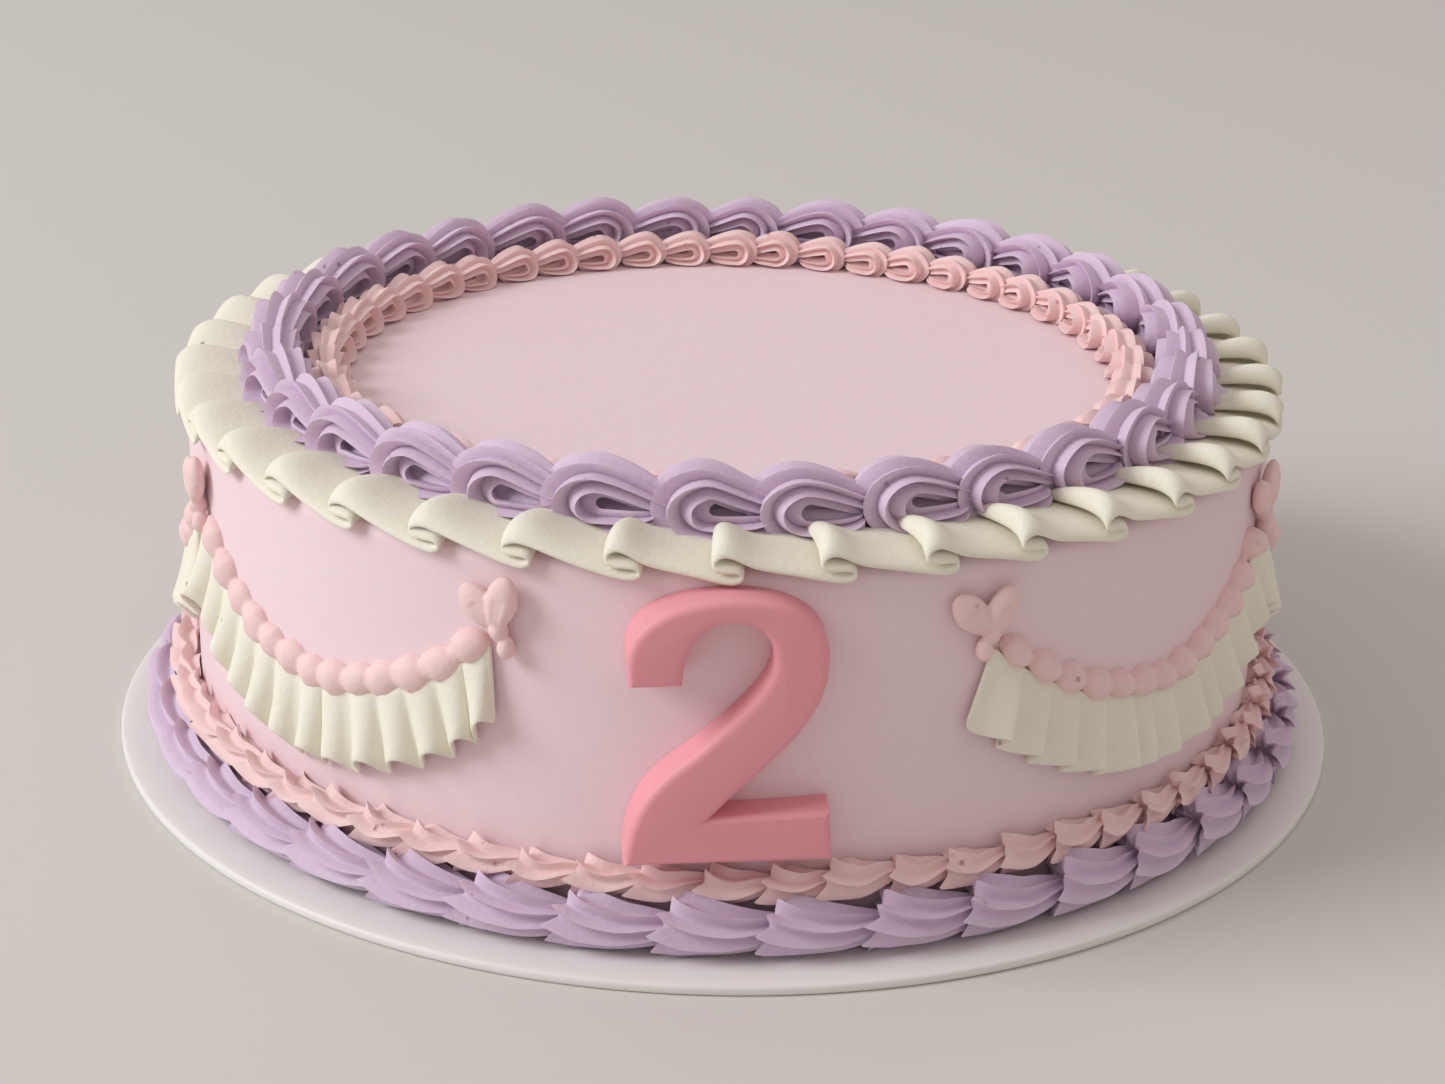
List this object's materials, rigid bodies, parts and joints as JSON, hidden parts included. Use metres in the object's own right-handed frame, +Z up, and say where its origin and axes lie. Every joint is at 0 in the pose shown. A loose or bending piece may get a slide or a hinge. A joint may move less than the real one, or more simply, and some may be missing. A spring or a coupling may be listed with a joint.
{
  "type": "birthday cake on cake board",
  "caption": "Round pale pink layer cake with piped lilac, pink and cream borders, swags, bows and a figure two, on a thin white board",
  "frame": {"origin": "on the ground under the middle of the round board", "axes": "+Z up through the middle of the cake; -Y is the front, where the figure two stands; +X is the viewer's right from the front"},
  "size_m": [0.254, 0.254, 0.0869],
  "materials": {
    "board": "white satin coated card",
    "pale_pink_icing": "smooth pale pink buttercream",
    "cream_icing": "cream white piped buttercream",
    "lilac_icing": "lilac piped buttercream",
    "pink_icing": "pink piped buttercream",
    "rose_fondant": "smooth rose pink fondant"
  },
  "bodies": {
    "root": {"cake_board": "board", "cake": "pale_pink_icing", "ribbon_ruffle": "cream_icing", "lilac_top_border": "lilac_icing", "pink_top_border": "pink_icing", "lilac_base_border": "lilac_icing", "pink_base_border": "pink_icing", "bow_1": "pink_icing", "bow_2": "pink_icing", "bow_3": "pink_icing", "bow_4": "pink_icing", "bow_5": "pink_icing", "bow_6": "pink_icing", "bow_7": "pink_icing", "bow_8": "pink_icing", "bead_string_1": "pink_icing", "bead_string_2": "pink_icing", "bead_string_3": "pink_icing", "bead_string_4": "pink_icing", "bead_string_5": "pink_icing", "bead_string_6": "pink_icing", "bead_string_7": "pink_icing", "frill_1": "cream_icing", "frill_2": "cream_icing", "frill_3": "cream_icing", "frill_4": "cream_icing", "frill_5": "cream_icing", "frill_6": "cream_icing", "frill_7": "cream_icing", "figure_two": "rose_fondant"}
  },
  "joints": []
}
